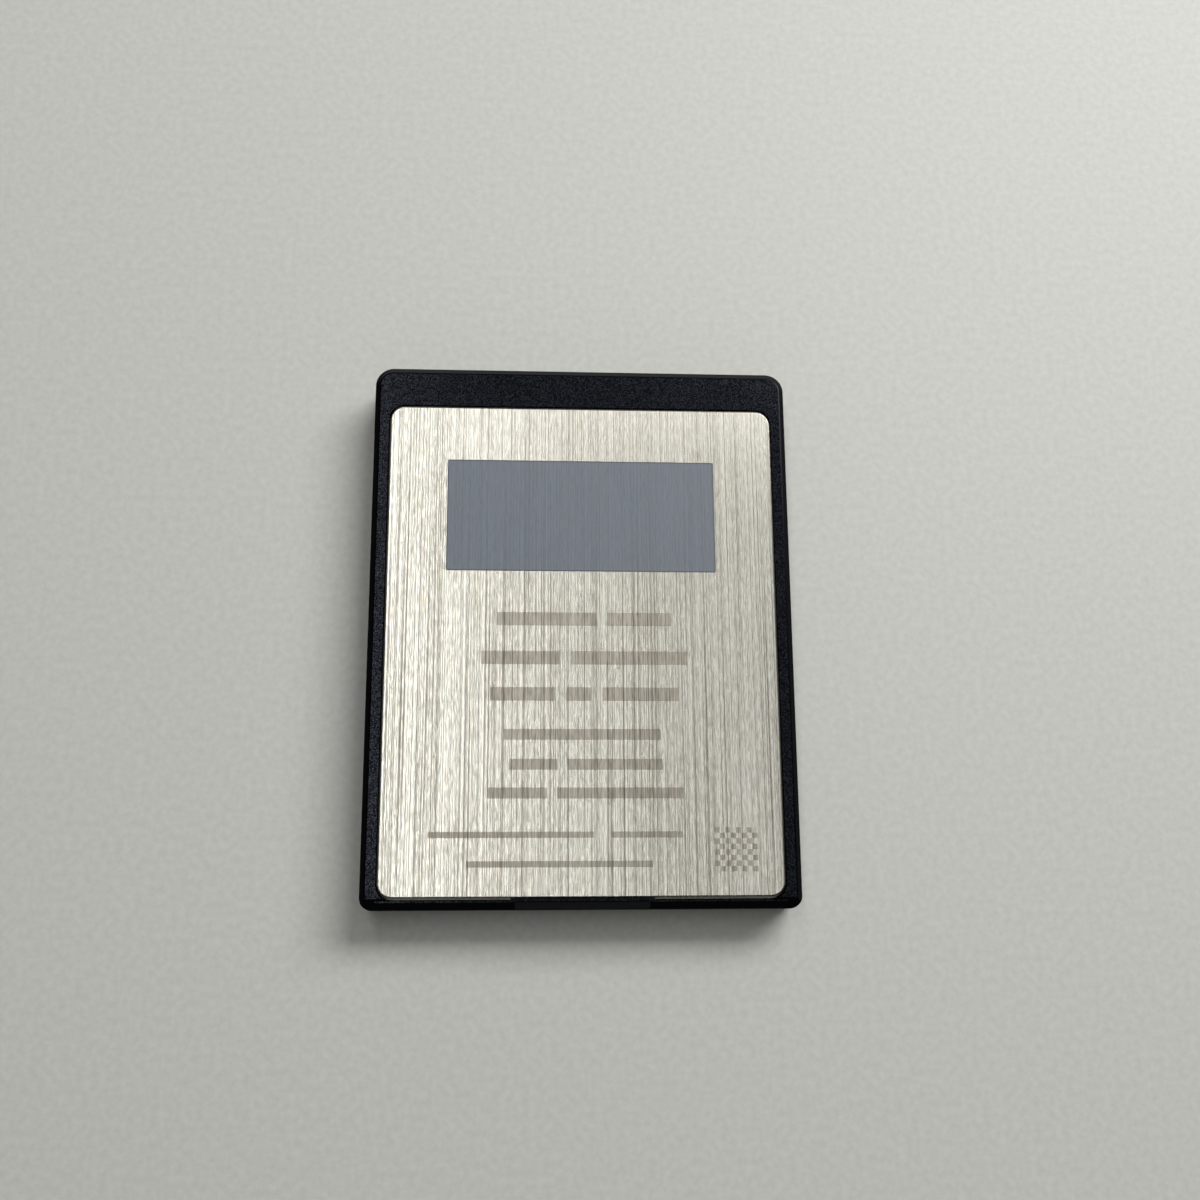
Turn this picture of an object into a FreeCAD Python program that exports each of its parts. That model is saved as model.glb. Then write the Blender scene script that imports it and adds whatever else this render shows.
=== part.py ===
import FreeCAD
import Part
import math
import os

# Sizes in millimetres: X across the card, Y towards the grip end, Z from the front face to the back cover

# Case outside
card_width = 29.8
card_length = 38.5
card_height = 3.8
grip_corner_radius = 1.32
nose_corner_radius = 0.85
rim_chamfer_drop = 0.3
side_chamfer = 0.42
grip_chamfer = 0.48
nose_slope_run = 0.75
nose_slope_drop = 0.65
front_chamfer = 0.35
edge_bevel_run = 0.1
edge_bevel_drop = 0.03
edge_round = 0.12
shadow_line = 0.06

# Case walls and the joint between the two halves
parting_height = 1.5
side_wall = 1.1
grip_wall = 1.75
nose_wall = 0.9
wall_round = 0.5
shell_floor = 0.45
tongue_thickness = 0.45
tongue_height = 0.4
tongue_gap = 0.04
recess_depth = 0.1
recess_margin = 1.4
recess_grip_margin = 3.0
recess_radius = 0.8

# Pressed steel cover, its groove and its ledge in the frame
cover_side_margin = 1.12
cover_grip_margin = 2.94
cover_nose_margin = 0.68
cover_radius = 1.05
cover_thickness = 0.15
cover_depth = 0.6
cover_round = 0.18
cover_nose_round = 0.24
cover_proud = 0.06
cover_gap = 0.06
ledge_width = 0.6
window_radius = 0.6
sheet_thickness = 0.08
sheet_gap = 0.2

# Flat tab of the cover over the mouth, and the pad of the frame in front of it
tab_width = 9.7
tab_setback = 0.21
pad_gap = 0.15
pad_side_gap = 0.3
pad_land = 0.2
pad_drop = 0.02
pad_setback = 0.07
rail_drop = 0.2

# Hollows under the grip band
hollow_count = 6
hollow_rib = 0.8
hollow_skin = 0.9
hollow_margin = 0.25

# Circuit board and what locates it
underside_space = 1.0
board_thickness = 0.6
board_gap = 0.3
board_radius = 0.8
flange_gap = 0.04
rest_count = 3
rest_length = 2.0
rest_overlap = 0.6
rest_inset = 2.4
pin_radius = 0.5
pin_gap = 0.08
pin_shoulder = 0.3
pin_inset = 1.5
pin_tip_drop = 0.1

# Connector
contact_count = 22
ground_every = 3
contact_pitch = 0.8
contact_width = 0.45
contact_thickness = 0.2
contact_proud = 0.1
contact_bend = 0.22
contact_tip_bevel = 0.07
contact_fit = 0.02
ground_tip = 0.5
signal_tip = 1.2
riser_gap = 0.3
riser_lean = 0.3
foot_length = 1.1
foot_gap = 0.15
shelf_height = 0.85
mouth_height = 1.1
mouth_depth = 4.9
mouth_margin = 0.9
mouth_round = 0.2
mouth_lead_in = 0.2
connector_depth = 5.9
connector_side = 0.9
connector_roof = 0.3
connector_setback = 0.1
connector_gap = 0.06
sill_height = 0.25
ear_width = 1.7
ear_height = 1.0
ear_front = 1.85
ear_length = 3.3
strap_width = 1.2
strap_inset = 0.5
stop_thickness = 0.6
stop_drop = 0.1
deck_gap = 0.2

# Chips: size across, size along, height
flash_width = 13.0
flash_length = 10.5
flash_height = 1.0
flash_gap = 1.0
controller_width = 11.0
controller_height = 0.8
regulator_width = 2.5
regulator_height = 0.75
chip_bevel = 0.06
dot_radius = 0.3
dot_depth = 0.03
dot_inset = 0.9
small_dot_radius = 0.15
small_dot_inset = 0.4

# Small parts on the board
inductor_length = 2.5
inductor_width = 2.0
inductor_height = 0.9
crystal_length = 2.5
crystal_width = 2.0
crystal_base = 0.4
crystal_lid = 0.15
crystal_lid_margin = 0.15
array_length = 2.5
array_width = 1.0
array_height = 0.5
array_count = 4
array_pitch = 3.6
array_row = 2.2
coupling_count = 4
coupling_pitch = 1.6
coupling_row = 3.7
resistor_count = 10
resistor_pitch = 1.8
resistor_row = 5.4
small_length = 1.0
small_width = 0.5
capacitor_height = 0.5
resistor_height = 0.35
bulk_length = 2.0
bulk_width = 1.25
bulk_height = 0.85
bulk_count = 4
bulk_pitch = 3.0
bulk_row = 2.6
end_cap_share = 0.25
end_cap_step = 0.02
ring_count = 4
ring_pitch = 2.2
ring_distance = 0.9
column_count = 3
column_pitch = 3.2
column_distance = 1.6
power_edge = 3.9
power_y = 9.0
power_gap = 0.8
crystal_edge = 3.9
crystal_y = 4.0

# Places worked out from the sizes
half_width = card_width / 2
half_length = card_length / 2
rim_height = card_height - cover_proud
pocket_x = half_width - side_wall
pocket_nose = nose_wall - half_length
pocket_grip = half_length - grip_wall
board_bottom = shell_floor + underside_space
board_top = board_bottom + board_thickness
flange_bottom = board_top + flange_gap
board_x = pocket_x - board_gap
board_grip = pocket_grip - board_gap

cover_x = half_width - cover_side_margin
cover_grip = half_length - cover_grip_margin
cover_nose = cover_nose_margin - half_length
cover_bottom = card_height - cover_depth
seat_height = card_height - cover_thickness
groove_bottom = cover_bottom - cover_gap
side_groove = max(cover_thickness, cover_round) + cover_gap
nose_groove = max(cover_thickness, cover_nose_round) + cover_gap
tab_x = tab_width / 2
tab_end = cover_nose + tab_setback
window_x = cover_x - side_groove - ledge_width
window_grip = cover_grip - side_groove - ledge_width

shelf_top = shell_floor + shelf_height
mouth_top = shelf_top + mouth_height
connector_top = mouth_top + connector_roof
connector_front = connector_setback - half_length
connector_rear = connector_front + connector_depth
sill_top = shell_floor + sill_height
row_span = (contact_count - 1) * contact_pitch
mouth_x = row_span / 2 + contact_width / 2 + mouth_margin
connector_x = mouth_x + connector_side
ear_x = connector_x + ear_width
ear_top = shell_floor + ear_height
ear_nose = connector_front + ear_front
ear_rear = ear_nose + ear_length
strap_x = connector_x + ear_width / 2
riser_y = connector_rear + riser_gap
board_nose = riser_y + riser_lean + contact_thickness / 2 + foot_gap
foot_end = board_nose + foot_length
window_nose = connector_rear - deck_gap

board_middle = (board_nose + board_grip) / 2
flash_middle = (foot_end + window_grip) / 2
pin_x = board_x - pin_inset
pin_y = board_grip - pin_inset
power_x = board_x - power_edge
crystal_x = crystal_edge - board_x

# Length by which cutting blocks pass the faces that they cut
spare = 1.0

Vector = FreeCAD.Vector


def block(x0, x1, y0, y1, z0, z1):
    return Part.makeBox(x1 - x0, y1 - y0, z1 - z0, Vector(x0, y0, z0))


def rounded_loop(points, radii):
    corners = []
    for index, corner in enumerate(points):
        radius = radii[index]
        if radius == 0:
            corners.append((corner, None, corner))
            continue
        before = (points[index - 1] - corner).normalize()
        after = (points[(index + 1) % len(points)] - corner).normalize()
        half_angle = before.getAngle(after) / 2
        reach = radius / math.tan(half_angle)
        inward = (before + after).normalize()
        middle = corner + inward * (radius / math.sin(half_angle) - radius)
        corners.append((corner + before * reach, middle, corner + after * reach))
    edges = []
    for index, (start, middle, end) in enumerate(corners):
        following = corners[(index + 1) % len(corners)][0]
        if middle is not None:
            edges.append(Part.Arc(start, middle, end).toShape())
        if end.distanceToPoint(following) > 1e-6:
            edges.append(Part.makeLine(end, following))
    return Part.Wire(edges)


def plate(x, y0, y1, z0, z1, radius):
    corners = [Vector(-x, y0, z0), Vector(x, y0, z0), Vector(x, y1, z0), Vector(-x, y1, z0)]
    return Part.Face(rounded_loop(corners, [radius] * 4)).extrude(Vector(0, 0, z1 - z0))


def outline_loop(z, side, nose, grip):
    # Outline of the card at one height, moved in by its own distance at the sides and at each end
    x = half_width - side
    y0 = nose - half_length
    y1 = half_length - grip
    corners = [Vector(-x, y0, z), Vector(x, y0, z), Vector(x, y1, z), Vector(-x, y1, z)]
    return rounded_loop(corners, [nose_corner_radius - side] * 2 + [grip_corner_radius - side] * 2)


def outline_prism(z0, z1, inset):
    return Part.Face(outline_loop(z0, inset, inset, inset)).extrude(Vector(0, 0, z1 - z0))


def section_across(points, radii, x0, x1):
    loop = rounded_loop([Vector(x0, y, z) for y, z in points], radii)
    return Part.Face(loop).extrude(Vector(x1 - x0, 0, 0))


def section_along(points, radii, y0, y1):
    loop = rounded_loop([Vector(x, y0, z) for x, z in points], radii)
    return Part.Face(loop).extrude(Vector(0, y1 - y0, 0))


def strip_side(path, side, thickness, bend, tip_bevel):
    # One side of a bent strip of sheet: a bevelled tip, then the path moved sideways, with its bend radii
    offset = side * thickness / 2
    angles = [math.atan2(z1 - z0, y1 - y0) for (y0, z0), (y1, z1) in zip(path, path[1:])]
    tip_y, tip_z = path[0]
    points = [(tip_y, tip_z + offset - side * tip_bevel), (tip_y + tip_bevel, tip_z + offset)]
    radii = [0, 0]
    for (y, z), angle_in, angle_out in zip(path[1:], angles, angles[1:] + angles[-1:]):
        turn = angle_out - angle_in
        direction = (angle_in + angle_out) / 2
        reach = offset / math.cos(turn / 2)
        points.append((y - reach * math.sin(direction), z + reach * math.cos(direction)))
        radii.append(bend - math.copysign(thickness / 2, turn * side) if turn else 0)
    return points, radii


def formed_strip(x, width, path):
    # Contact strip of the one sheet that all contacts and straps are cut from
    upper, upper_radii = strip_side(path, 1, contact_thickness, contact_bend, contact_tip_bevel)
    lower, lower_radii = strip_side(path, -1, contact_thickness, contact_bend, contact_tip_bevel)
    outline = upper + lower[::-1]
    radii = upper_radii + lower_radii[::-1]
    return section_across(outline, radii, x - width / 2, x + width / 2)


def top_edges(shape, height):
    return [edge for edge in shape.Edges if edge.BoundBox.ZMin > height - 1e-4]


def rolled_plate(x, y0, y1, z0, z1, radius, side_round, nose_round):
    # Rounded plate whose upper edge rolls over, with a wider roll along the nose edge
    document = FreeCAD.newDocument("rolled")
    base = document.addObject("Part::Feature", "base")
    base.Shape = plate(x, y0, y1, z0, z1, radius)
    rolls = []
    for number, edge in enumerate(base.Shape.Edges, 1):
        if edge.BoundBox.ZMin < z1 - 1e-4:
            continue
        ends = [edge.valueAt(edge.FirstParameter).y, edge.valueAt(edge.LastParameter).y]
        rounds = [nose_round if end < y0 + 1e-4 else side_round for end in ends]
        rolls.append((number, rounds[0], rounds[1]))
    rolled = document.addObject("Part::Fillet", "rolled")
    rolled.Base = base
    rolled.Edges = rolls
    document.recompute()
    shape = rolled.Shape.copy()
    FreeCAD.closeDocument(document.Name)
    return shape


def ring(x, y0, y1, z0, z1, radius, wide_side, wide_nose, wide_grip):
    outer = plate(x, y0, y1, z0, z1, radius)
    inner_radius = max(radius - wide_side, edge_round)
    inner = plate(x - wide_side, y0 + wide_nose, y1 - wide_grip, z0 - spare, z1 + spare, inner_radius)
    return outer.cut(inner)


def contact_places():
    return [index * contact_pitch - row_span / 2 for index in range(contact_count)]


def is_ground(index):
    return index % ground_every == 0


def contact_height():
    return shelf_top + contact_proud - contact_thickness / 2


# Frame: the upper half of the case
def frame_outside():
    # Straight wall, then a shallow chamfer that follows the corners, then a slight bevel to the rim
    chamfer_foot = rim_height - rim_chamfer_drop
    bevel_foot = rim_height - edge_bevel_drop
    loops = [
        outline_loop(chamfer_foot, 0, 0, 0),
        outline_loop(bevel_foot, side_chamfer - edge_bevel_run, side_chamfer - edge_bevel_run,
                     grip_chamfer - edge_bevel_run),
        outline_loop(rim_height, side_chamfer, side_chamfer, grip_chamfer),
    ]
    outside = outline_prism(parting_height, chamfer_foot, 0).fuse(Part.makeLoft(loops, True, True))
    along = [
        (-half_length, parting_height),
        (-half_length, rim_height - nose_slope_drop),
        (nose_slope_run - half_length, rim_height),
        (half_length, rim_height),
        (half_length, parting_height),
    ]
    rounds = [0, edge_round, edge_round, 0, 0]
    outside = outside.common(section_across(along, rounds, -half_width, half_width))
    top = parting_height + shadow_line
    line = block(-half_width - spare, half_width + spare, -half_length - spare, half_length + spare,
                 parting_height - spare, top)
    line = line.cut(outline_prism(parting_height - 2 * spare, top + spare, shadow_line))
    return outside.cut(line)


def cover_groove():
    x = cover_x + cover_gap
    nose = cover_nose - cover_gap
    grip = cover_grip + cover_gap
    groove = ring(x, nose, grip, groove_bottom, seat_height + spare, cover_radius + cover_gap,
                  side_groove + cover_gap, nose_groove + cover_gap, side_groove + cover_gap)
    kept = tab_x - cover_gap
    return groove.cut(block(-kept, kept, nose - spare, nose + spare, 0, card_height + spare))


def grip_hollows():
    y0 = cover_grip + cover_gap + hollow_margin
    length = (2 * board_x - (hollow_count - 1) * hollow_rib) / hollow_count
    hollows = []
    for index in range(hollow_count):
        x = index * (length + hollow_rib) - board_x
        hollows.append(block(x, x + length, y0, pocket_grip, parting_height, rim_height - hollow_skin))
    return hollows


def nose_pad():
    x = tab_x - pad_side_gap
    back = tab_end - pad_gap
    front = pad_setback - half_length
    top = rim_height - pad_drop
    slope_foot = rim_height - nose_slope_drop * (1 - pad_setback / nose_slope_run)
    section = [
        (back, groove_bottom),
        (back, top),
        (back - pad_land, top),
        (front, slope_foot),
        (front, groove_bottom),
    ]
    return section_across(section, [0, edge_round / 2, edge_round, 0, 0], -x, x)


def make_frame():
    frame = frame_outside()
    recess = plate(cover_x + cover_gap, cover_nose - cover_gap, cover_grip + cover_gap, seat_height,
                   card_height + spare, cover_radius + cover_gap)
    window = plate(window_x, window_nose, window_grip, 0, card_height, window_radius)
    pocket = plate(pocket_x, pocket_nose, pocket_grip, 0, flange_bottom, wall_round)
    rebate = tongue_thickness + tongue_gap
    tongue_room = plate(pocket_x + rebate, pocket_nose - rebate, pocket_grip + rebate, 0,
                        parting_height + tongue_height + tongue_gap, wall_round + rebate)
    room_x = connector_x + connector_gap
    connector_room = block(-room_x, room_x, -half_length - spare, connector_rear + connector_gap, 0,
                           connector_top + connector_gap)
    rail_x = cover_x + cover_gap
    rail_top = rim_height - rail_drop
    rail_back = cover_nose - cover_gap
    rail_cut = block(-rail_x, rail_x, -half_length - spare, rail_back, rail_top, card_height + spare)
    feet_x = strap_x + strap_width / 2 + connector_gap
    feet_room = block(-feet_x, feet_x, window_nose, foot_end + connector_gap, 0,
                      board_top + contact_thickness + connector_gap)
    frame = frame.cut([recess, window, pocket, rail_cut, cover_groove()])
    frame = frame.cut([tongue_room, connector_room, feet_room])
    frame = frame.cut(grip_hollows())
    return frame.fuse(nose_pad()).removeSplitter()


# Front shell: the lower half of the case
def shell_outside():
    # Front face, a slight bevel, then a chamfer that follows the corners, then the straight wall
    bevelled = front_chamfer - edge_bevel_run
    loops = [
        outline_loop(0, front_chamfer, front_chamfer, front_chamfer),
        outline_loop(edge_bevel_drop, bevelled, bevelled, bevelled),
        outline_loop(front_chamfer, 0, 0, 0),
    ]
    return outline_prism(front_chamfer, parting_height, 0).fuse(Part.makeLoft(loops, True, True))


def board_rests():
    first = board_nose + rest_inset
    last = board_grip - rest_inset - 2 * pin_inset
    step = (last - first) / (rest_count - 1)
    rests = []
    for index in range(rest_count):
        y = first + index * step
        for side in (-1, 1):
            x0, x1 = sorted((side * (board_x - rest_overlap), side * (pocket_x + tongue_gap)))
            rests.append(block(x0, x1, y - rest_length / 2, y + rest_length / 2, 0, board_bottom))
    return rests


def board_pins():
    pins = []
    for side in (-1, 1):
        foot = Vector(side * pin_x, pin_y, shell_floor / 2)
        pins.append(Part.makeCylinder(pin_radius + pin_shoulder, board_bottom - foot.z, foot))
        pins.append(Part.makeCylinder(pin_radius, board_top - pin_tip_drop - foot.z, foot))
    return pins


def ear_stops():
    behind = ear_rear + connector_gap
    ahead = ear_nose - connector_gap
    low_top = ear_top - contact_thickness - stop_drop
    stops = []
    for side in (-1, 1):
        x0, x1 = sorted((side * (connector_x + connector_gap), side * ear_x))
        stops.append(block(x0, x1, behind, behind + stop_thickness, shell_floor / 2, low_top))
        stops.append(block(x0, x1, ahead - stop_thickness, ahead, shell_floor / 2, ear_top))
    return stops


def make_front_shell():
    shell = shell_outside()
    cavity = plate(pocket_x, pocket_nose, pocket_grip, shell_floor, card_height, wall_round)
    tongue = ring(pocket_x + tongue_thickness, pocket_nose - tongue_thickness, pocket_grip + tongue_thickness,
                  shell_floor, parting_height + tongue_height, wall_round + tongue_thickness,
                  tongue_thickness, tongue_thickness, tongue_thickness)
    recess = plate(half_width - recess_margin, recess_margin - half_length, half_length - recess_grip_margin,
                   -spare, recess_depth, recess_radius)
    room_x = connector_x + connector_gap
    mouth_room = block(-room_x, room_x, -half_length - spare, pocket_nose + spare, sill_top, card_height)
    shell = shell.cut(cavity).fuse(tongue)
    shell = shell.fuse(board_rests() + board_pins() + ear_stops())
    return shell.cut([recess, mouth_room]).removeSplitter()


# Pressed steel cover and the film under it
def make_back_cover():
    outside = rolled_plate(cover_x, cover_nose, cover_grip, cover_bottom, card_height, cover_radius,
                           cover_round, cover_nose_round)
    wall = cover_thickness
    inside = plate(cover_x - wall, cover_nose + wall, cover_grip - wall, cover_bottom - spare, seat_height,
                   cover_radius - wall)
    bend_line = cover_nose + cover_nose_round
    notch = block(-tab_x, tab_x, cover_nose - spare, bend_line, 0, card_height + spare)
    tab = block(-tab_x, tab_x, tab_end, bend_line, seat_height, card_height)
    return outside.cut(inside).cut(notch).fuse(tab).removeSplitter()


def make_insulating_sheet():
    return plate(window_x - sheet_gap, window_nose + sheet_gap, window_grip - sheet_gap,
                 seat_height - sheet_thickness, seat_height, window_radius)


# Connector
def mouth_cutter():
    section = [(-mouth_x, shelf_top), (-mouth_x, mouth_top), (mouth_x, mouth_top), (mouth_x, shelf_top)]
    mouth_back = connector_front + mouth_depth
    straight = section_along(section, [mouth_round] * 4, connector_front - spare, mouth_back)
    flare = mouth_lead_in
    wide = [(-mouth_x - flare, shelf_top - flare), (-mouth_x - flare, mouth_top + flare),
            (mouth_x + flare, mouth_top + flare), (mouth_x + flare, shelf_top - flare)]
    outer = rounded_loop([Vector(x, connector_front, z) for x, z in wide], [mouth_round + flare] * 4)
    inner = rounded_loop([Vector(x, connector_front + flare, z) for x, z in section], [mouth_round] * 4)
    return straight.fuse(Part.makeLoft([outer, inner], True))


def make_connector_housing():
    body = block(-connector_x, connector_x, connector_front, connector_rear, shell_floor, connector_top)
    ears = block(-ear_x, ear_x, ear_nose, ear_rear, shell_floor, ear_top)
    step_rear = pocket_nose + connector_gap
    step = block(-connector_x - spare, connector_x + spare, connector_front - spare, step_rear, 0,
                 sill_top + connector_gap)
    low = contact_height() - contact_thickness / 2 - contact_fit
    high = contact_height() + contact_thickness / 2 + contact_fit
    grooves = []
    for index, x in enumerate(contact_places()):
        tip = connector_front + (ground_tip if is_ground(index) else signal_tip) - contact_fit
        half = contact_width / 2 + contact_fit
        grooves.append(block(x - half, x + half, tip, connector_rear + spare, low, high))
    for side in (-1, 1):
        x = side * strap_x
        half = strap_width / 2 + contact_fit
        floor = ear_top - contact_thickness - contact_fit
        tip = ear_nose + strap_inset - contact_fit
        grooves.append(block(x - half, x + half, tip, ear_rear + spare, floor, ear_top + spare))
    return body.fuse(ears).cut([step, mouth_cutter()] + grooves).removeSplitter()


def bent_path(tip, height):
    foot = board_top + contact_thickness / 2
    return [(tip, height), (riser_y, height), (riser_y + riser_lean, foot), (foot_end, foot)]


def make_contacts(ground):
    strips = []
    reach = ground_tip if ground else signal_tip
    path = bent_path(connector_front + reach, contact_height())
    for index, x in enumerate(contact_places()):
        if is_ground(index) == ground:
            strips.append(formed_strip(x, contact_width, path))
    return strips


def make_hold_down_tabs():
    path = bent_path(ear_nose + strap_inset, ear_top - contact_thickness / 2)
    return [formed_strip(x, strap_width, path) for x in (-strap_x, strap_x)]


# Circuit board and what is soldered to it
def make_circuit_board():
    board = plate(board_x, board_nose, board_grip, board_bottom, board_top, board_radius)
    holes = []
    for side in (-1, 1):
        foot = Vector(side * pin_x, pin_y, board_bottom - spare)
        holes.append(Part.makeCylinder(pin_radius + pin_gap, board_thickness + 2 * spare, foot))
    return board.cut(holes)


def turned_under(shape):
    # A part drawn standing on the board's upper face, hung under its lower face instead
    return shape.mirror(Vector(0, 0, board_top), Vector(0, 0, 1)).translated(Vector(0, 0, -board_thickness))


def package(x, y, width, length, height):
    body = block(x - width / 2, x + width / 2, y - length / 2, y + length / 2, board_top, board_top + height)
    return body.makeChamfer(chip_bevel, top_edges(body, board_top + height))


def chip(x, y, width, length, height, dot, inset):
    # Moulded package with a shallow dot beside its first terminal
    foot = Vector(x - width / 2 + inset, y + length / 2 - inset, board_top + height - dot_depth)
    return package(x, y, width, length, height).cut(Part.makeCylinder(dot, dot_depth + spare, foot))


def end_capped(x, y, length, width, height, along):
    # Small part with a metal cap on each end, long side across or along the card
    step = end_cap_step
    cap = length * end_cap_share
    body = block(-length / 2 + cap, length / 2 - cap, step - width / 2, width / 2 - step, 0, height - step)
    for side in (-1, 1):
        x0, x1 = sorted((side * length / 2, side * (length / 2 - cap)))
        body = body.fuse(block(x0, x1, -width / 2, width / 2, 0, height))
    if along:
        body.rotate(Vector(0, 0, 0), Vector(0, 0, 1), 90)
    return body.translated(Vector(x, y, board_top))


def spread(count, pitch):
    return [(index - (count - 1) / 2) * pitch for index in range(count)]


def make_flash_chip(side):
    y = flash_middle + side * (flash_length + flash_gap) / 2
    return chip(0, y, flash_width, flash_length, flash_height, dot_radius, dot_inset)


def make_controller_chip():
    body = chip(0, board_middle, controller_width, controller_width, controller_height, dot_radius, dot_inset)
    return turned_under(body)


def make_voltage_regulator():
    body = chip(power_x, board_middle + power_y, regulator_width, regulator_width, regulator_height,
                small_dot_radius, small_dot_inset)
    return turned_under(body)


def make_power_inductor():
    y = board_middle + power_y - regulator_width / 2 - power_gap - inductor_width / 2
    return turned_under(end_capped(power_x, y, inductor_length, inductor_width, inductor_height, False))


def make_crystal():
    y = board_middle + crystal_y
    half_x = crystal_length / 2
    half_y = crystal_width / 2
    top = board_top + crystal_base
    base = block(crystal_x - half_x, crystal_x + half_x, y - half_y, y + half_y, board_top, top)
    lid_x = half_x - crystal_lid_margin
    lid_y = half_y - crystal_lid_margin
    lid = block(crystal_x - lid_x, crystal_x + lid_x, y - lid_y, y + lid_y, top, top + crystal_lid)
    return turned_under(base.fuse(lid))


def make_surge_arrays():
    y = board_nose + array_row
    return [turned_under(package(x, y, array_length, array_width, array_height))
            for x in spread(array_count, array_pitch)]


def make_row(count, pitch, y, length, width, height, along):
    return [turned_under(end_capped(x, y, length, width, height, along)) for x in spread(count, pitch)]


def make_coupling_capacitors():
    y = board_nose + coupling_row
    return make_row(coupling_count, coupling_pitch, y, small_length, small_width, capacitor_height, True)


def make_resistors():
    y = board_nose + resistor_row
    return make_row(resistor_count, resistor_pitch, y, small_length, small_width, resistor_height, True)


def make_bulk_capacitors():
    y = board_grip - bulk_row
    return make_row(bulk_count, bulk_pitch, y, bulk_length, bulk_width, bulk_height, False)


def make_decoupling_capacitors():
    parts = []
    reach = controller_width / 2 + ring_distance
    for place in spread(ring_count, ring_pitch):
        for side in (-1, 1):
            across = end_capped(side * reach, board_middle + place, small_length, small_width,
                                capacitor_height, False)
            along = end_capped(place, board_middle + side * reach, small_length, small_width,
                               capacitor_height, True)
            parts.append(turned_under(across))
            parts.append(turned_under(along))
    column_x = flash_width / 2 + column_distance
    for chip_side in (-1, 1):
        middle = flash_middle + chip_side * (flash_length + flash_gap) / 2
        for place in spread(column_count, column_pitch):
            for side in (-1, 1):
                parts.append(end_capped(side * column_x, middle + place, small_length, small_width,
                                        capacitor_height, True))
    return parts


def save(name, shapes):
    shape = Part.makeCompound(shapes) if isinstance(shapes, list) else shapes
    shape.exportStep(f"parts/{name}.step")
    volume = round(shape.Volume, 3)
    print(f"{name}: {len(shape.Solids)} solids, {volume} mm3, valid {shape.isValid()}")


os.makedirs("parts", exist_ok=True)
save("frame", make_frame())
save("front_shell", make_front_shell())
save("back_cover", make_back_cover())
save("insulating_sheet", make_insulating_sheet())
save("connector_housing", make_connector_housing())
save("ground_contacts", make_contacts(True))
save("signal_contacts", make_contacts(False))
save("hold_down_tabs", make_hold_down_tabs())
save("circuit_board", make_circuit_board())
save("flash_chip_near", make_flash_chip(-1))
save("flash_chip_far", make_flash_chip(1))
save("controller_chip", make_controller_chip())
save("voltage_regulator", make_voltage_regulator())
save("power_inductor", make_power_inductor())
save("crystal", make_crystal())
save("surge_arrays", make_surge_arrays())
save("coupling_capacitors", make_coupling_capacitors())
save("bulk_capacitors", make_bulk_capacitors())
save("decoupling_capacitors", make_decoupling_capacitors())
save("resistors", make_resistors())
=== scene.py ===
import bmesh
import bpy
import math
from mathutils import Matrix, Vector


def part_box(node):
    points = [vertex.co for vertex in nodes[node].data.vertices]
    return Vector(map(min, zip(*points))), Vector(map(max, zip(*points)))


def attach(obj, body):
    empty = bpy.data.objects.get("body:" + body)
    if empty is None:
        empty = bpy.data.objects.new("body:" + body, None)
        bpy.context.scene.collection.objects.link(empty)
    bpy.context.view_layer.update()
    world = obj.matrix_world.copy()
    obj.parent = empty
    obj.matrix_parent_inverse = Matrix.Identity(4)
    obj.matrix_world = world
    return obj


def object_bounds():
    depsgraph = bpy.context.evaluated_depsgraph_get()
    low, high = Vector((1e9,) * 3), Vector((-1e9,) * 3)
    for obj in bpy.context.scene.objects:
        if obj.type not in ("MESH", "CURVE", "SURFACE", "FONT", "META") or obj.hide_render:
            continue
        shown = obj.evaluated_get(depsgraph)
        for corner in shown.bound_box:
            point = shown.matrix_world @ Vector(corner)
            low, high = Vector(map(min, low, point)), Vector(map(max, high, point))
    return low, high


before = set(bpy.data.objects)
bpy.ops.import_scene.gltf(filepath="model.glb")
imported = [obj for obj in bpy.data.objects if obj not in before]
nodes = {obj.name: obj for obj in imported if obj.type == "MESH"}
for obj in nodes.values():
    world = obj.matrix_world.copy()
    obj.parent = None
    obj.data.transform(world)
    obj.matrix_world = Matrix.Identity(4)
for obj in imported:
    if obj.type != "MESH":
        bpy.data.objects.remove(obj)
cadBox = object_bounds()
scene = bpy.context.scene
scene.view_settings.view_transform = "Standard"
mm = 0.001
print("stage: frame loaded,", len(nodes), "nodes")


def linear(hexText):  # sRGB hex to the linear colour that Blender works in
    parts = [int(hexText[i:i + 2], 16) / 255 for i in (1, 3, 5)]
    return tuple(c / 12.92 if c <= 0.04045 else ((c + 0.055) / 1.055) ** 2.4 for c in parts) + (1.0,)


def addNode(tree, kind, settings=None, sockets=None):  # one node with its settings, its values and its links
    node = tree.nodes.new(kind)
    for name, value in (settings or {}).items():
        setattr(node, name, value)
    for name, value in (sockets or {}).items():
        if isinstance(value, bpy.types.NodeSocket):
            tree.links.new(value, node.inputs[name])
        else:
            node.inputs[name].default_value = value
    return node


def startMaterial(name):  # empty material with a Principled shader and object coordinates
    material = bpy.data.materials.new(name)
    material.use_nodes = True
    tree = material.node_tree
    shader = tree.nodes["Principled BSDF"]
    place = tree.nodes.new("ShaderNodeTexCoord").outputs["Object"]
    return material, tree, shader, place


def perMm(size):  # texture scale for a feature of this size in millimetres
    return 1 / (size * mm)


def dress(names, material):  # the material takes the place of the plain one that the nodes came with
    for name in names:
        nodes[name].data.materials.clear()
        nodes[name].data.materials.append(material)


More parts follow.
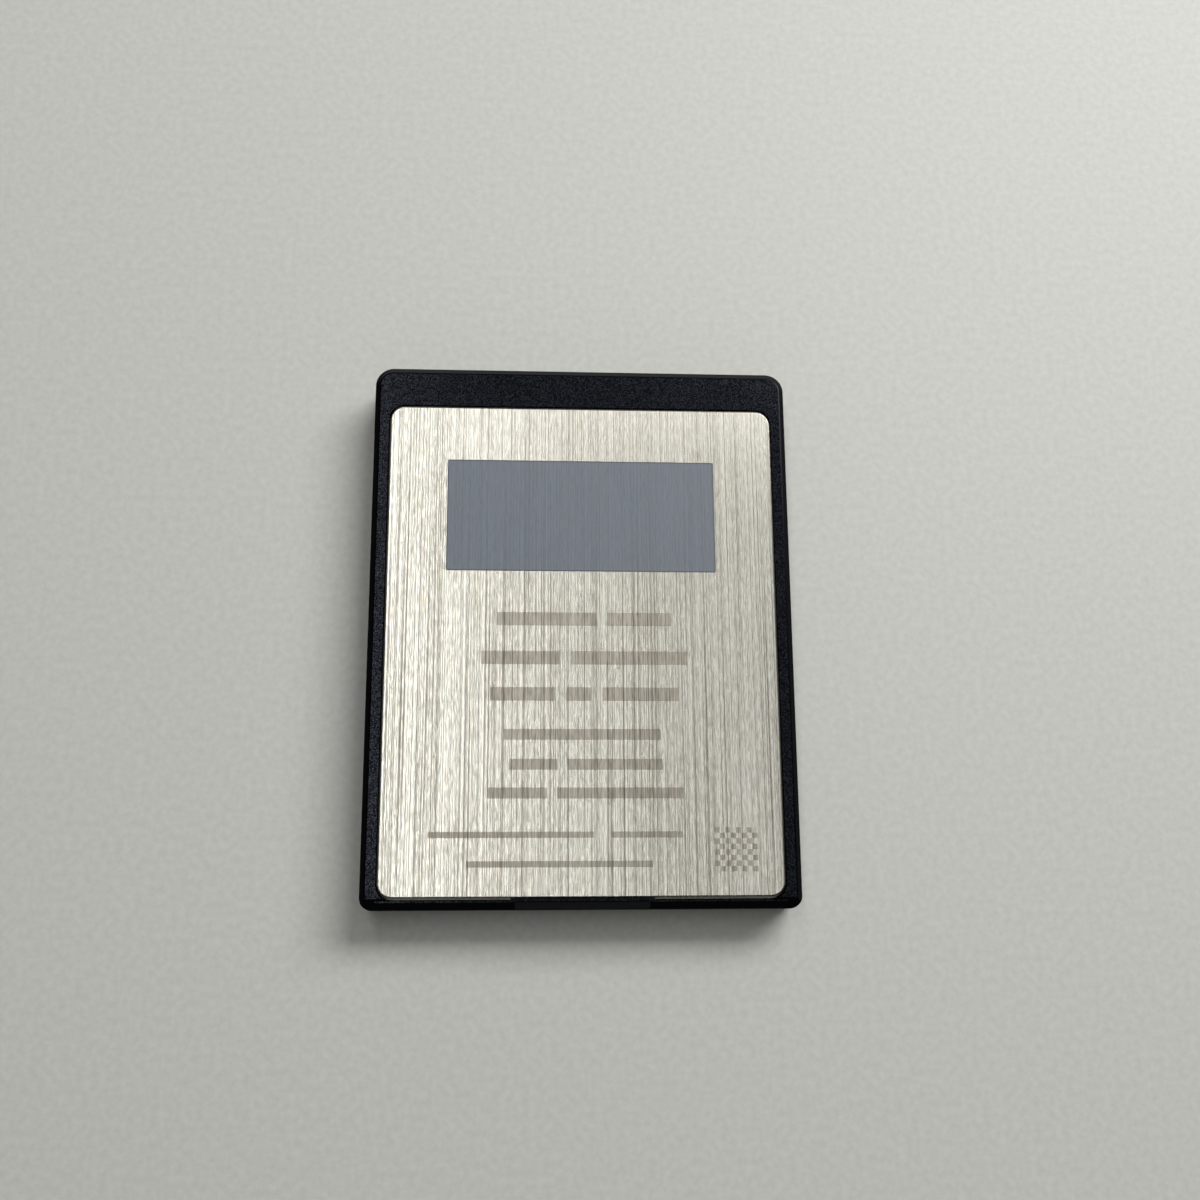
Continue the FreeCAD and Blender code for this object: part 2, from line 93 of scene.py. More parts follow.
# Spark-eroded black polycarbonate: its facets glint on flat faces, bevels and walls are smooth and deep black
mouldedBlack = {"pit": 0.1, "fine": 0.05, "fineShare": 0.4, "pitDepth": 0.003, "wear": 2.6,
                "facet": 0.055, "facetFrom": 0.45, "flatFrom": 0.985,  # facets near a pixel wide, to show
                "dark": "#050507", "light": "#111318", "glintTint": "#DDE6FF",
                "glintLow": 0.05, "glintHigh": 0.5, "glintBevel": 0.1,
                "roughFlat": 0.17, "roughBevel": 0.2, "roughWear": 0.06}


def makeMouldedBlack(look):
    material, tree, shader, place = startMaterial("polycarbonate_spark_eroded_black")
    layers = [addNode(tree, "ShaderNodeTexNoise", None,
                      {"Vector": place, "Scale": perMm(look[size]), "Detail": 2.0, "Roughness": 0.6})
              for size in ("pit", "fine", "wear")]
    relief = addNode(tree, "ShaderNodeMix", {"data_type": "FLOAT"},
                     {0: look["fineShare"], 2: layers[0].outputs["Fac"],
                      3: layers[1].outputs["Fac"]}).outputs[0]
    facing = addNode(tree, "ShaderNodeNewGeometry").outputs["True Normal"]
    upward = addNode(tree, "ShaderNodeSeparateXYZ", None, {0: facing}).outputs["Z"]
    level = addNode(tree, "ShaderNodeMath", {"operation": "ABSOLUTE"}, {0: upward}).outputs[0]
    flat = addNode(tree, "ShaderNodeMath", {"operation": "GREATER_THAN"},
                   {0: level, 1: look["flatFrom"]}).outputs[0]
    facets = addNode(tree, "ShaderNodeTexVoronoi", None, {"Vector": place, "Scale": perMm(look["facet"])})
    chance = addNode(tree, "ShaderNodeSeparateColor", None, {0: facets.outputs["Color"]}).outputs[0]
    sparkle = addNode(tree, "ShaderNodeMapRange", None,  # about half of the facets glint
                      {"Value": chance, "From Min": look["facetFrom"], "From Max": 1.0}).outputs[0]
    facetsAndPaintedGlint = addNode(tree, "ShaderNodeMath", {"operation": "MULTIPLY"}, {0: sparkle, 1: flat}).outputs[0]
    # spark-eroded facets on flat faces, lighter in the base colour where they glint: real grain, partly a
    # painted glint
    colour = addNode(tree, "ShaderNodeMix", {"data_type": "RGBA"},
                     {0: facetsAndPaintedGlint, 6: linear(look["dark"]), 7: linear(look["light"])})
    glint = addNode(tree, "ShaderNodeMapRange", None,
                    {"Value": sparkle, "To Min": look["glintLow"], "To Max": look["glintHigh"]})
    specular = addNode(tree, "ShaderNodeMix", {"data_type": "FLOAT"},
                       {0: flat, 2: look["glintBevel"], 3: glint.outputs[0]})
    finish = addNode(tree, "ShaderNodeMix", {"data_type": "FLOAT"},
                     {0: flat, 2: look["roughBevel"], 3: look["roughFlat"]})
    rough = addNode(tree, "ShaderNodeMath", {"operation": "MULTIPLY_ADD"},
                    {0: layers[2].outputs["Fac"], 1: look["roughWear"], 2: finish.outputs[0]})
    bump = addNode(tree, "ShaderNodeBump", None,
                   {"Strength": flat, "Distance": look["pitDepth"] * mm, "Height": relief})
    tree.links.new(colour.outputs[2], shader.inputs["Base Color"])
    tree.links.new(specular.outputs[0], shader.inputs["Specular IOR Level"])
    shader.inputs["Specular Tint"].default_value = linear(look["glintTint"])
    tree.links.new(rough.outputs[0], shader.inputs["Roughness"])
    tree.links.new(bump.outputs[0], shader.inputs["Normal"])
    return material


# Stainless steel brushed along the card: long bright and dark hairlines, light smeared across them
brushedSteel = {"streakWide": 0.07, "streakLong": 60.0, "hairWide": 0.055, "hairLong": 40.0,
                "grainWide": 0.05, "grainLong": 0.7, "cloud": 5.0,  # lines near a pixel wide, to show
                "hairLimits": (0.32, 0.5), "grainLimits": (0.25, 0.75), "toneLimits": (0.36, 0.75),
                "hairShare": 0.45, "grainShare": 0.3, "cloudShare": 0.15, "spread": 0.85,
                # painted shade: the brown-black on this row darkens faces turned to the grip end, and less
                # the nose end
                "rolled": "#2E2B26", "gripShare": 0.94, "gripFrom": 0.12, "noseShare": 0.6, "noseFrom": -0.3,
                "dark": "#847F71", "light": "#FFFCF0", "roughLow": 0.21, "roughHigh": 0.31, "depth": 0.0008}


def brushLines(tree, place, look):  # lines along Y, 0 to 1: streaks, dark hairlines and short grain
    layers = []
    for wide, long, seed in (("streakWide", "streakLong", 3.1), ("hairWide", "hairLong", 7.7),
                             ("grainWide", "grainLong", 5.3)):
        stretch = addNode(tree, "ShaderNodeMapping", None,
                          {"Vector": place, "Location": (seed, seed, seed),
                           "Scale": (perMm(look[wide]), perMm(look[long]), perMm(look[wide]))})
        layers.append(addNode(tree, "ShaderNodeTexNoise", None,
                              {"Vector": stretch.outputs[0], "Scale": 1.0, "Detail": 1.0, "Roughness": 0.6}))
    hairs = addNode(tree, "ShaderNodeMapRange", None,  # thin dark hairlines
                    {"Value": layers[1].outputs["Fac"],
                     "From Min": look["hairLimits"][0], "From Max": look["hairLimits"][1]})
    lines = addNode(tree, "ShaderNodeMix", {"data_type": "FLOAT"},
                    {0: look["hairShare"], 2: layers[0].outputs["Fac"], 3: hairs.outputs[0]})
    grain = addNode(tree, "ShaderNodeMapRange", None,
                    {"Value": layers[2].outputs["Fac"],
                     "From Min": look["grainLimits"][0], "From Max": look["grainLimits"][1]})
    both = addNode(tree, "ShaderNodeMix", {"data_type": "FLOAT"},
                   {0: look["grainShare"], 2: lines.outputs[0], 3: grain.outputs[0]})
    return addNode(tree, "ShaderNodeMapRange", None,
                   {"Value": both.outputs[0],
                    "From Min": look["toneLimits"][0], "From Max": look["toneLimits"][1]}).outputs[0]


def makeBrushed(name, look, metallic):  # steel, or a mark or ink film on it that shows the same lines
    material, tree, shader, place = startMaterial(name)
    lines = brushLines(tree, place, brushedSteel)
    cloud = addNode(tree, "ShaderNodeTexNoise", None,
                    {"Vector": place, "Scale": perMm(brushedSteel["cloud"]), "Detail": 2.0})
    tone = addNode(tree, "ShaderNodeMix", {"data_type": "FLOAT"},
                   {0: brushedSteel["cloudShare"], 2: lines, 3: cloud.outputs["Fac"]})
    colour = addNode(tree, "ShaderNodeMix", {"data_type": "RGBA"},
                     {0: tone.outputs[0], 6: linear(look["dark"]), 7: linear(look["light"])})
    # painted shade: the base colour darkens where the normal turns to the grip end, and less the nose end, so
    # the glint on the rolled ends stays thin
    facing = addNode(tree, "ShaderNodeNewGeometry").outputs["Normal"]
    gripward = addNode(tree, "ShaderNodeSeparateXYZ", None, {0: facing}).outputs["Y"]
    gripShade, noseShade = (addNode(tree, "ShaderNodeMapRange", None,
                                  {"Value": gripward, "From Min": 0.0, "From Max": brushedSteel[end + "From"],
                                   "To Min": 0.0, "To Max": brushedSteel[end + "Share"]}).outputs[0]
                          for end in ("grip", "nose"))
    edge = addNode(tree, "ShaderNodeMath", {"operation": "MAXIMUM"}, {0: gripShade, 1: noseShade})
    shadedRoll = addNode(tree, "ShaderNodeMix", {"data_type": "RGBA"},  # painted shade on faces turned to the card's ends, darkest towards the grip end
                     {0: edge.outputs[0], 6: colour.outputs[2], 7: linear(brushedSteel["rolled"])})
    rough = addNode(tree, "ShaderNodeMapRange", None,
                    {"Value": lines, "To Min": look["roughHigh"], "To Max": look["roughLow"]})
    bump = addNode(tree, "ShaderNodeBump", None,
                   {"Strength": 1.0, "Distance": look["depth"] * mm, "Height": lines})
    across = addNode(tree, "ShaderNodeCombineXYZ", None, {"X": 1.0})  # light spreads across the brush lines
    tree.links.new(shadedRoll.outputs[2], shader.inputs["Base Color"])
    tree.links.new(rough.outputs[0], shader.inputs["Roughness"])
    tree.links.new(bump.outputs[0], shader.inputs["Normal"])
    tree.links.new(across.outputs[0], shader.inputs["Tangent"])
    shader.inputs["Metallic"].default_value = metallic
    shader.inputs["Anisotropic"].default_value = brushedSteel["spread"] * metallic
    return material


dress(("frame", "front_shell"), makeMouldedBlack(mouldedBlack))
dress(("back_cover",), makeBrushed("stainless_steel_brushed", brushedSteel, 1.0))
print("stage: case materials done")


# Inner pieces: moulded, ceramic and plated finishes, each with the grain that its making leaves
grainy = {"connector_housing": {"finish": "liquid_crystal_polymer_moulded",
                                "dark": "#0C0C0D", "light": "#1E1E21",  # satin, faint flow marks
                                "grain": 0.35, "rough": (0.38, 0.52), "depth": 0.004},
          "chips": {"finish": "epoxy_moulding_compound_black", "dark": "#141416", "light": "#2A2A2D",
                    "grain": 0.12, "rough": (0.5, 0.64), "depth": 0.005},  # fine matt grain, slightly grey
          "capacitors": {"finish": "barium_titanate_fired_tan", "dark": "#8A6E52", "light": "#A88B6C",
                         "grain": 0.1, "rough": (0.42, 0.55), "depth": 0.002},  # tan, dry, faintly speckled
          "resistors": {"finish": "glass_glaze_black", "dark": "#101012", "light": "#26262A",
                        "grain": 0.15, "rough": (0.18, 0.3), "depth": 0.001},  # black gloss
          "power_inductor": {"finish": "ferrite_pressed_grey", "dark": "#3A3A3C", "light": "#565659",
                             "grain": 0.09, "rough": (0.5, 0.62), "depth": 0.004},  # grey powder grain
          "insulating_sheet": {"finish": "polyimide_film_amber",
                               "dark": "#A8640F", "light": "#C27D1E",  # amber, glossy, faint waves
                               "grain": 2.5, "rough": (0.2, 0.32), "depth": 0.001}}
plated = {"contacts": {"finish": "copper_alloy_gold_plated", "dark": "#C99A43", "light": "#F0CD82",
                       "rough": (0.16, 0.3)},  # warm gold, fine rolling lines along the strip
          "hold_down_tabs": {"finish": "brass_tin_plated", "dark": "#A5A6A8", "light": "#D0D1D3",
                             "rough": (0.28, 0.45)}}  # pale grey, slightly cloudy
rolling = {"wide": 0.05, "long": 1.5, "cloud": 0.8, "cloudShare": 0.5, "limits": (0.3, 0.7)}
tinned = {"capacitors": "Y", "resistors": "Y", "power_inductor": "X"}  # the way that the soldered ends face
tin = {"colour": "#C4C5C7", "from": 0.7}
groups = {"chips": ("flash_chip_near", "flash_chip_far", "controller_chip", "voltage_regulator",
                    "surge_arrays"),
          "capacitors": ("coupling_capacitors", "bulk_capacitors", "decoupling_capacitors"),
          "contacts": ("ground_contacts", "signal_contacts")}


def makeGrainy(look, endsFace):
    material, tree, shader, place = startMaterial(look["finish"])
    grain = addNode(tree, "ShaderNodeTexNoise", None,
                    {"Vector": place, "Scale": perMm(look["grain"]), "Detail": 3.0,
                     "Roughness": 0.6}).outputs["Fac"]
    colour = addNode(tree, "ShaderNodeMix", {"data_type": "RGBA"},
                     {0: grain, 6: linear(look["dark"]), 7: linear(look["light"])}).outputs[2]
    rough = addNode(tree, "ShaderNodeMapRange", None,
                    {"Value": grain, "To Min": look["rough"][0], "To Max": look["rough"][1]}).outputs[0]
    bump = addNode(tree, "ShaderNodeBump", None,
                   {"Strength": 1.0, "Distance": look["depth"] * mm, "Height": grain})
    if endsFace:  # tin on the faces that look along the part
        facing = addNode(tree, "ShaderNodeNewGeometry").outputs["Normal"]
        along = addNode(tree, "ShaderNodeSeparateXYZ", None, {0: facing}).outputs[endsFace]
        size = addNode(tree, "ShaderNodeMath", {"operation": "ABSOLUTE"}, {0: along}).outputs[0]
        ends = addNode(tree, "ShaderNodeMath", {"operation": "GREATER_THAN"},
                       {0: size, 1: tin["from"]}).outputs[0]
        colour = addNode(tree, "ShaderNodeMix", {"data_type": "RGBA"},
                         {0: ends, 6: colour, 7: linear(tin["colour"])}).outputs[2]
        tree.links.new(ends, shader.inputs["Metallic"])
    tree.links.new(colour, shader.inputs["Base Color"])
    tree.links.new(rough, shader.inputs["Roughness"])
    tree.links.new(bump.outputs[0], shader.inputs["Normal"])
    return material


def makePlated(look):
    material, tree, shader, place = startMaterial(look["finish"])
    stretch = addNode(tree, "ShaderNodeMapping", None,
                      {"Vector": place, "Scale": (perMm(rolling["wide"]), perMm(rolling["long"]),
                                                  perMm(rolling["wide"]))})
    lines = addNode(tree, "ShaderNodeTexNoise", None,
                    {"Vector": stretch.outputs[0], "Scale": 1.0, "Detail": 2.0})
    cloud = addNode(tree, "ShaderNodeTexNoise", None,
                    {"Vector": place, "Scale": perMm(rolling["cloud"]), "Detail": 2.0})
    tone = addNode(tree, "ShaderNodeMix", {"data_type": "FLOAT"},
                   {0: rolling["cloudShare"], 2: lines.outputs["Fac"], 3: cloud.outputs["Fac"]}).outputs[0]
    colour = addNode(tree, "ShaderNodeMix", {"data_type": "RGBA"},
                     {0: tone, 6: linear(look["dark"]), 7: linear(look["light"])})
    rough = addNode(tree, "ShaderNodeMapRange", None,
                    {"Value": tone, "From Min": rolling["limits"][0], "From Max": rolling["limits"][1],
                     "To Min": look["rough"][0], "To Max": look["rough"][1]})
    tree.links.new(colour.outputs[2], shader.inputs["Base Color"])
    tree.links.new(rough.outputs[0], shader.inputs["Roughness"])
    shader.inputs["Metallic"].default_value = 1.0
    return material


for name, look in grainy.items():
    dress(groups.get(name, (name,)), makeGrainy(look, tinned.get(name)))
for name, look in plated.items():
    dress(groups.get(name, (name,)), makePlated(look))

# Glass-epoxy board under green solder mask: copper tracks show as paler lines, the cut edges stay tan
boardLook = {"mask": "#0E4A2A", "track": "#1C6A40", "edge": "#8C8250", "edgeFrom": 0.5, "rough": 0.3,
             "spacing": 0.5, "trackShare": 0.08, "runShare": 6.0, "rowShare": 0.7, "ridge": 0.01}
boardMaterial, tree, shader, place = startMaterial("glass_epoxy_green_solder_mask")
tracks = addNode(tree, "ShaderNodeTexBrick", {"offset": 0.5},
                 {"Vector": place, "Scale": perMm(boardLook["spacing"]), "Color1": linear(boardLook["mask"]),
                  "Color2": linear(boardLook["mask"]), "Mortar": linear(boardLook["track"]),
                  "Mortar Size": boardLook["trackShare"], "Brick Width": boardLook["runShare"],
                  "Row Height": boardLook["rowShare"]})
facing = addNode(tree, "ShaderNodeNewGeometry").outputs["Normal"]
upward = addNode(tree, "ShaderNodeSeparateXYZ", None, {0: facing}).outputs["Z"]
flat = addNode(tree, "ShaderNodeMath", {"operation": "ABSOLUTE"}, {0: upward}).outputs[0]
sides = addNode(tree, "ShaderNodeMath", {"operation": "LESS_THAN"},
                {0: flat, 1: boardLook["edgeFrom"]}).outputs[0]
colour = addNode(tree, "ShaderNodeMix", {"data_type": "RGBA"},
                 {0: sides, 6: tracks.outputs["Color"], 7: linear(boardLook["edge"])})
ridge = addNode(tree, "ShaderNodeBump", None,
                {"Strength": 1.0, "Distance": boardLook["ridge"] * mm, "Height": tracks.outputs["Fac"]})
tree.links.new(colour.outputs[2], shader.inputs["Base Color"])
tree.links.new(ridge.outputs[0], shader.inputs["Normal"])
shader.inputs["Roughness"].default_value = boardLook["rough"]
dress(("circuit_board",), boardMaterial)

# Crystal: a nickel lid on a white ceramic base, told apart by height
crystalLook = {"lid": "#C9C5BC", "base": "#D9D6CE", "lidShare": 0.27, "grain": 0.3, "rough": (0.25, 0.5)}
crystalMaterial, tree, shader, place = startMaterial("nickel_lid_on_alumina")
low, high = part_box("crystal")
step = low[2] + (high[2] - low[2]) * crystalLook["lidShare"]
heightOf = addNode(tree, "ShaderNodeSeparateXYZ", None, {0: place}).outputs["Z"]
lid = addNode(tree, "ShaderNodeMath", {"operation": "LESS_THAN"}, {0: heightOf, 1: step}).outputs[0]
grain = addNode(tree, "ShaderNodeTexNoise", None,
                {"Vector": place, "Scale": perMm(crystalLook["grain"])}).outputs["Fac"]
colour = addNode(tree, "ShaderNodeMix", {"data_type": "RGBA"},
                 {0: lid, 6: linear(crystalLook["base"]), 7: linear(crystalLook["lid"])})
rough = addNode(tree, "ShaderNodeMapRange", None,
                {"Value": grain, "To Min": crystalLook["rough"][0], "To Max": crystalLook["rough"][1]})
tree.links.new(colour.outputs[2], shader.inputs["Base Color"])
tree.links.new(lid, shader.inputs["Metallic"])
tree.links.new(rough.outputs[0], shader.inputs["Roughness"])
dress(("crystal",), crystalMaterial)
print("stage: inner materials done")


def keepPiece(obj):  # a new piece that rides with the card
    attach(obj, "root")


# Printed field: a thin film of satin blue-grey ink with a slightly darker edge, brush lines showing through
printField = {"low": (-9.57, 4.05), "high": (9.52, 12.24), "round": 0.1, "film": 0.006, "sunk": 0.004,
              "shoulder": 0.02, "wallShare": 0.6, "edge": 0.09, "arc": 4}
printInk = {"dark": "#646B72", "light": "#777F88", "roughLow": 0.46, "roughHigh": 0.54, "depth": 0.0008}
printEdgeInk = {"dark": "#4E555C", "light": "#5C636B", "roughLow": 0.46, "roughHigh": 0.54, "depth": 0.0008}


def roundedRing(mesh, low, high, radius, z, arc):  # closed ring of points round a rounded rectangle
    ring = []
    corners = ((high[0], high[1]), (low[0], high[1]), (low[0], low[1]), (high[0], low[1]))
    for corner, (cx, cy) in enumerate(corners):
        mx = cx - radius if cx == high[0] else cx + radius
        my = cy - radius if cy == high[1] else cy + radius
        for step in range(arc + 1):
            angle = math.radians(90 * corner + 90 * step / arc)
            point = Vector((mx + radius * math.cos(angle), my + radius * math.sin(angle), z))
            ring.append(mesh.verts.new(point * mm))
    return ring


def makePrintField(look, top):
    mesh = bmesh.new()
    rings = []
    for inset, z in ((0.0, top - look["sunk"]), (0.0, top + look["wallShare"] * look["film"]),
                     (look["shoulder"], top + look["film"]), (look["edge"], top + look["film"])):
        low = (look["low"][0] + inset, look["low"][1] + inset)
        high = (look["high"][0] - inset, look["high"][1] - inset)
        rings.append(roundedRing(mesh, low, high, look["round"], z, look["arc"]))
    count = len(rings[0])
    for lower, upper in zip(rings, rings[1:]):
        for i in range(count):
            face = mesh.faces.new((lower[i], lower[(i + 1) % count], upper[(i + 1) % count], upper[i]))
            face.material_index = 1
    mesh.faces.new(rings[-1])
    mesh.faces.new(list(reversed(rings[0]))).material_index = 1
    bmesh.ops.recalc_face_normals(mesh, faces=mesh.faces)
    data = bpy.data.meshes.new("printed_field")
    mesh.to_mesh(data)
    mesh.free()
    obj = bpy.data.objects.new("printed_field", data)
    scene.collection.objects.link(obj)
    return obj


plateTop = cadBox[1][2] / mm
field = makePrintField(printField, plateTop)
field.data.materials.append(makeBrushed("screen_print_ink_blue_grey", printInk, 0.0))
field.data.materials.append(makeBrushed("screen_print_ink_edge", printEdgeInk, 0.0))
keepPiece(field)
print("stage: printed field done")

# Etched marks: plain bars, fine dashes and a small chequered square, dulled by laser to a brown-grey
etchedMarks = {"film": 0.004, "sunk": 0.004,
               "bars": ((0.6, 0.95, (-5.96, 1.0), (1.75, 6.24)),  # a row's place, its height, then its spans
                        (-2.15, 0.95, (-7.03, -1.6), (-0.8, 7.39)),
                        (-4.7, 0.95, (-6.38, -1.9), (-1.1, 0.6), (1.4, 6.71)),
                        (-7.5, 0.75, (-5.38, 5.41)),
                        (-9.55, 0.75, (-5.02, -1.7), (-1.05, 5.51)),
                        (-11.5, 0.75, (-6.5, -2.4), (-1.75, 6.92)),
                        (-14.3, 0.42, (-10.42, 0.8), (1.9, 6.79)),
                        (-16.25, 0.42, (-7.84, 4.72))),
               "square": (10.43, -15.3), "cells": 8, "cell": 0.37}
etchedSteel = {"dark": "#726C5F", "light": "#D6CFC1", "roughLow": 0.34, "roughHigh": 0.46, "depth": 0.0012}


def makeEtchedMarks(look, top, material):
    data = bpy.data.meshes.new("etched_marks")  # one point for each bar, with its length and height
    places, sizes = [], []
    for y, height, *spans in look["bars"]:
        for x0, x1 in spans:
            places.append(Vector(((x0 + x1) / 2, y, 0)) * mm)
            sizes.append(Vector((x1 - x0, height, look["film"] + look["sunk"])) * mm)
    data.from_pydata(places, [], [])
    barSize = data.attributes.new("barSize", "FLOAT_VECTOR", "POINT")
    barSize.data.foreach_set("vector", [part for size in sizes for part in size])
    obj = bpy.data.objects.new("etched_marks", data)
    scene.collection.objects.link(obj)
    tree = bpy.data.node_groups.new("etchedMarks", "GeometryNodeTree")
    tree.interface.new_socket("Geometry", in_out="INPUT", socket_type="NodeSocketGeometry")
    wanted = {"Lift": (top + (look["film"] - look["sunk"]) / 2) * mm, "Cell": look["cell"] * mm,
              "Square X": look["square"][0] * mm, "Square Y": look["square"][1] * mm}
    sockets = {name: tree.interface.new_socket(name, in_out="INPUT", socket_type="NodeSocketFloat")
               for name in wanted}
    tree.interface.new_socket("Geometry", in_out="OUTPUT", socket_type="NodeSocketGeometry")
    given = addNode(tree, "NodeGroupInput").outputs
    bar = addNode(tree, "GeometryNodeMeshCube", None, {"Size": (1.0, 1.0, 1.0)})
    size = addNode(tree, "GeometryNodeInputNamedAttribute", {"data_type": "FLOAT_VECTOR"},
                   {"Name": "barSize"})
    bars = addNode(tree, "GeometryNodeInstanceOnPoints", None,
                   {"Points": given["Geometry"], "Instance": bar.outputs["Mesh"],
                    "Scale": size.outputs["Attribute"]})
    reach = addNode(tree, "ShaderNodeMath", {"operation": "MULTIPLY"},
                    {0: given["Cell"], 1: look["cells"] - 1.0})
    net = addNode(tree, "GeometryNodeMeshGrid", None,
                  {"Size X": reach.outputs[0], "Size Y": reach.outputs[0],
                   "Vertices X": look["cells"], "Vertices Y": look["cells"]})
    index = addNode(tree, "GeometryNodeInputIndex")
    row = addNode(tree, "ShaderNodeMath", {"operation": "DIVIDE"},
                  {0: index.outputs[0], 1: float(look["cells"])})
    row = addNode(tree, "ShaderNodeMath", {"operation": "FLOOR"}, {0: row.outputs[0]})
    both = addNode(tree, "ShaderNodeMath", {"operation": "ADD"}, {0: index.outputs[0], 1: row.outputs[0]})
    odd = addNode(tree, "ShaderNodeMath", {"operation": "MODULO"}, {0: both.outputs[0], 1: 2.0})
    thick = (look["film"] + look["sunk"]) * mm
    cellSize = addNode(tree, "ShaderNodeCombineXYZ", None,
                       {"X": given["Cell"], "Y": given["Cell"], "Z": thick})
    cells = addNode(tree, "GeometryNodeInstanceOnPoints", None,
                    {"Points": net.outputs["Mesh"], "Selection": odd.outputs[0],
                     "Instance": bar.outputs["Mesh"], "Scale": cellSize.outputs[0]})
    corner = addNode(tree, "ShaderNodeCombineXYZ", None, {"X": given["Square X"], "Y": given["Square Y"]})
    cells = addNode(tree, "GeometryNodeTransform", None,
                    {"Geometry": cells.outputs[0], "Translation": corner.outputs[0]})
    joined = addNode(tree, "GeometryNodeJoinGeometry")
    tree.links.new(bars.outputs[0], joined.inputs[0])
    tree.links.new(cells.outputs[0], joined.inputs[0])
    lift = addNode(tree, "ShaderNodeCombineXYZ", None, {"Z": given["Lift"]})
    lifted = addNode(tree, "GeometryNodeTransform", None,
                     {"Geometry": joined.outputs[0], "Translation": lift.outputs[0]})
    real = addNode(tree, "GeometryNodeRealizeInstances", None, {0: lifted.outputs[0]})
    painted = addNode(tree, "GeometryNodeSetMaterial", None,
                      {"Geometry": real.outputs[0], "Material": material})
    addNode(tree, "NodeGroupOutput", None, {0: painted.outputs[0]})
    modifier = obj.modifiers.new("marks", "NODES")
    modifier.node_group = tree
    for name, socket in sockets.items():
        modifier[socket.identifier] = wanted[name]
    ready = obj.evaluated_get(bpy.context.evaluated_depsgraph_get())
    plain = bpy.data.meshes.new_from_object(ready)
    obj.modifiers.remove(modifier)
    obj.data = plain
    return obj


marks = makeEtchedMarks(etchedMarks, plateTop, makeBrushed("steel_laser_etched", etchedSteel, 1.0))
keepPiece(marks)
print("stage: etched marks done,", len(marks.data.polygons), "faces")


# Camera: solved from the card's four corners in the photograph
cameraSet = {"lens": 40.55, "sensor": 36.0, "place": (-4.385, -19.576, 96.238),
             "right": (0.9982, -0.00612, 0.05959), "up": (-0.00757, 0.97392, 0.22675),
             "back": (-0.05942, -0.22679, 0.97213), "clipStart": 0.002, "clipEnd": 20.0}
cameraData = bpy.data.cameras.new("camera")
cameraData.lens = cameraSet["lens"]
cameraData.sensor_width = cameraSet["sensor"]
cameraData.clip_start = cameraSet["clipStart"]
cameraData.clip_end = cameraSet["clipEnd"]
camera = bpy.data.objects.new("camera", cameraData)
scene.collection.objects.link(camera)
turn = Matrix((cameraSet["right"], cameraSet["up"], cameraSet["back"])).transposed().to_4x4()
camera.matrix_world = Matrix.Translation(Vector(cameraSet["place"]) * mm) @ turn
scene.camera = camera

# Floor: a pale painted table top with a very fine orange-peel skin
floorSet = {"half": 3.0, "skin": 0.5, "skinDepth": 0.01, "skinShare": 0.5, "rough": 0.6,
            "dark": "#C2C2BC", "light": "#D9D9D2"}
floorMesh = bpy.data.meshes.new("floor")
grid = bmesh.new()
bmesh.ops.create_grid(grid, x_segments=2, y_segments=2, size=floorSet["half"])
grid.to_mesh(floorMesh)
grid.free()
floor = bpy.data.objects.new("floor", floorMesh)
scene.collection.objects.link(floor)
floorPaint, tree, shader, place = startMaterial("table_top_painted_pale")
skin = addNode(tree, "ShaderNodeTexNoise", None,
               {"Vector": place, "Scale": perMm(floorSet["skin"]), "Detail": 2.0})
tint = addNode(tree, "ShaderNodeMix", {"data_type": "RGBA"},
               {0: skin.outputs["Fac"], 6: linear(floorSet["dark"]), 7: linear(floorSet["light"])})
peel = addNode(tree, "ShaderNodeBump", None,
               {"Strength": floorSet["skinShare"], "Distance": floorSet["skinDepth"] * mm,
                "Height": skin.outputs["Fac"]})
tree.links.new(tint.outputs[2], shader.inputs["Base Color"])
tree.links.new(peel.outputs[0], shader.inputs["Normal"])
shader.inputs["Roughness"].default_value = floorSet["rough"]
floorMesh.materials.append(floorPaint)

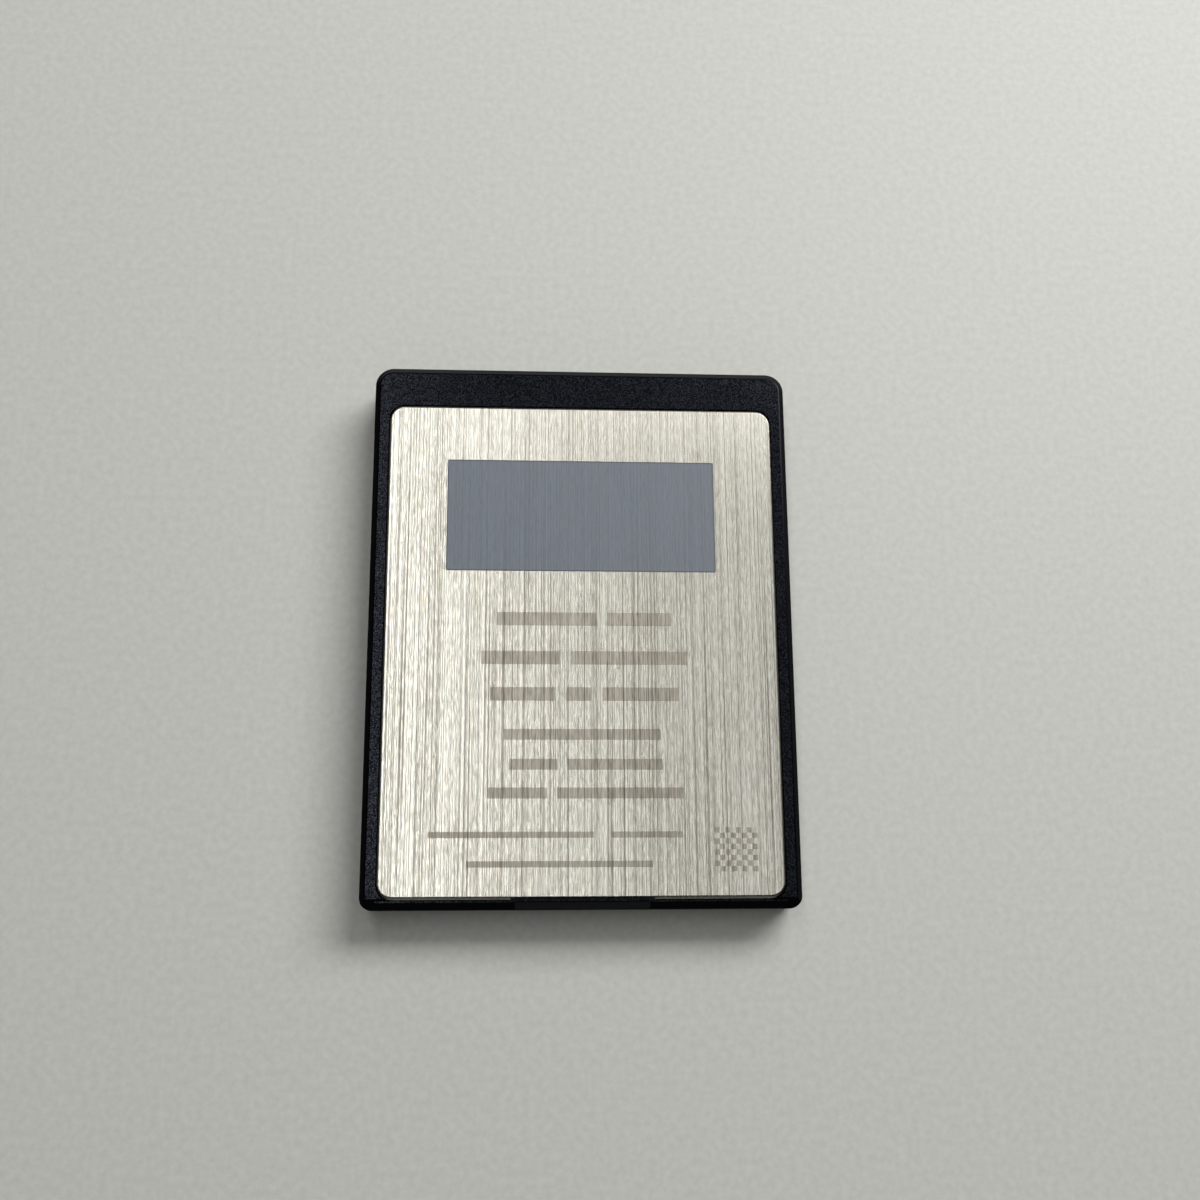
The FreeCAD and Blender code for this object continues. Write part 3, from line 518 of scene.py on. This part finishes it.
# Light: a soft window beyond the grip end and to the right, a ceiling panel, and a bright strip on the left
lamps = {"window": {"place": (192, 232, 270), "size": (0.3, 0.14), "watts": 1.38},
         "ceiling": {"place": (70, 110, 470), "size": (0.44, 0.4), "watts": 0.3},
         "strip": {"place": (-105, 100, 450), "size": (0.06, 0.5), "watts": 0.385}}
for name, lamp in lamps.items():
    data = bpy.data.lights.new(name, "AREA")
    data.shape = "RECTANGLE"
    data.size, data.size_y = lamp["size"]
    data.energy = lamp["watts"]
    obj = bpy.data.objects.new(name, data)
    scene.collection.objects.link(obj)
    spot = Vector(lamp["place"]) * mm
    behind = spot.normalized()  # the lamp shines along its own -Z, at the card
    across = (Vector((1, 0, 0)) - behind * behind.x).normalized()
    aim = Matrix((across, behind.cross(across), behind)).transposed().to_4x4()
    obj.matrix_world = Matrix.Translation(spot) @ aim

# World: a dim room, bright low down beyond the grip end, with a grey wall behind the camera
room = {"dark": 0.02, "horizon": 4.4, "pale": 0.35, "wall": 0.32, "tint": "#FFFEFB",
        "aheadLimits": (0.7, 1.0), "bandLimits": (0.03, 0.11),
        "wallLimits": (-0.55, -0.85), "aboveLimits": (0.16, 0.34)}
world = bpy.data.worlds.new("studio")
world.use_nodes = True
scene.world = world
tree = world.node_tree
direction = addNode(tree, "ShaderNodeTexCoord").outputs["Generated"]
ways = addNode(tree, "ShaderNodeSeparateXYZ", None, {0: direction}).outputs
ahead = addNode(tree, "ShaderNodeMapRange", None,
                {"Value": ways["Y"], "From Min": room["aheadLimits"][0], "From Max": room["aheadLimits"][1]})
rise = addNode(tree, "ShaderNodeMapRange", None,
               {"Value": ways["Z"], "From Min": room["bandLimits"][0], "From Max": room["bandLimits"][1],
                "To Min": room["horizon"], "To Max": room["pale"]})
behind = addNode(tree, "ShaderNodeMapRange", None,
                 {"Value": ways["Y"], "From Min": room["wallLimits"][0], "From Max": room["wallLimits"][1],
                  "To Min": 0.0, "To Max": room["wall"]})
above = addNode(tree, "ShaderNodeMapRange", None,
                {"Value": ways["Z"], "From Min": room["aboveLimits"][0], "From Max": room["aboveLimits"][1]})
front = addNode(tree, "ShaderNodeMath", {"operation": "MULTIPLY_ADD"},
                {0: ahead.outputs[0], 1: rise.outputs[0], 2: room["dark"]}).outputs[0]
level = addNode(tree, "ShaderNodeMath", {"operation": "MULTIPLY_ADD"},
                {0: behind.outputs[0], 1: above.outputs[0], 2: front}).outputs[0]
tree.links.new(level, tree.nodes["Background"].inputs["Strength"])
tree.nodes["Background"].inputs["Color"].default_value = linear(room["tint"])
print("stage: camera, floor and light done")
